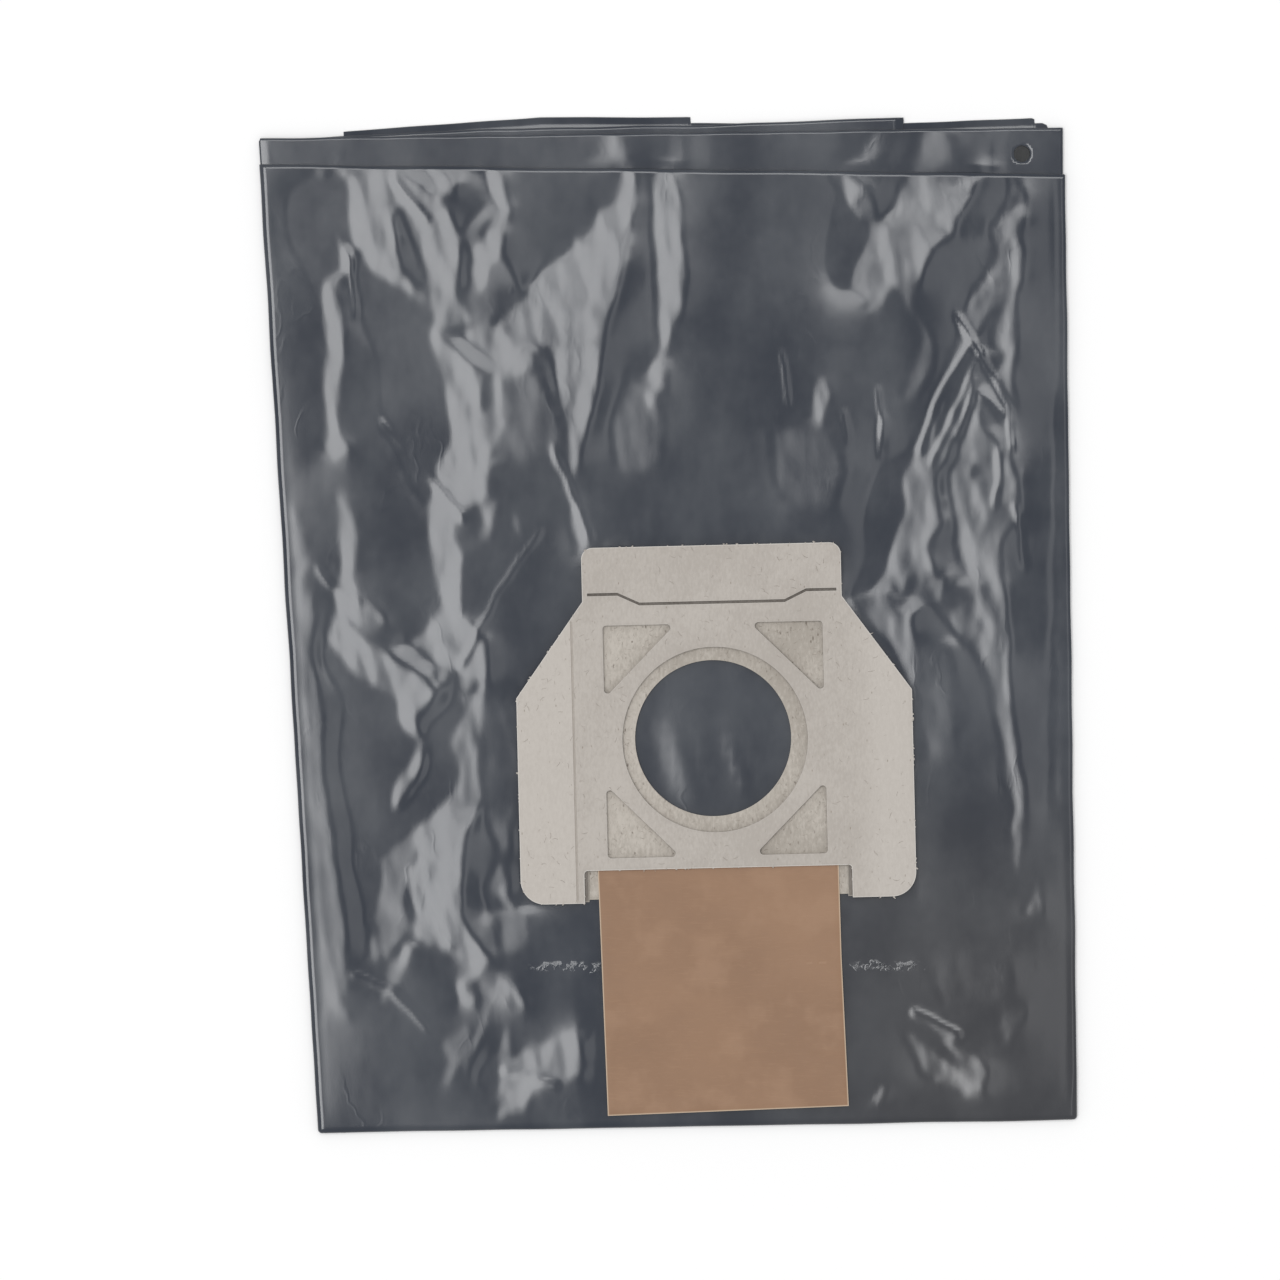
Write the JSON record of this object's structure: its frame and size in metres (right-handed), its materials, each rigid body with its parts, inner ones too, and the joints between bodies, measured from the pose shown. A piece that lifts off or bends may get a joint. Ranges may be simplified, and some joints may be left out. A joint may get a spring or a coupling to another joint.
{
  "type": "plastic vacuum bag",
  "caption": "Folded dark plastic film bag with a board collar around its inlet and a brown card that slides up in the collar to close it.",
  "frame": {"origin": "middle of the folded bag's box, on the surface that it lies on", "axes": "+Y up the bag towards the collar's tab, +X to the right with the collar facing up, +Z out of the collar"},
  "size_m": [0.2862, 0.3554, 0.0064],
  "materials": {
    "dark_film": "glossy dark slate film with soft wrinkles",
    "back_board": "rough yellowish grey board with short fibres",
    "spacer_board": "grey board",
    "top_board": "smooth light grey board with fine fibre specks",
    "brown_card": "satin brown card"
  },
  "bodies": {
    "bag": {"film_bag": "dark_film", "collar_back_plate": "back_board", "collar_spacer": "spacer_board", "collar_top_plate": "top_board"},
    "shutter": {"shutter_card": "brown_card"}
  },
  "joints": [
    {"name": "shutter_slide", "type": "slide", "parent": "bag", "child": "shutter", "axis": [-0.0236, 0.9997, 0], "range_m": [0, 0.084]}
  ]
}
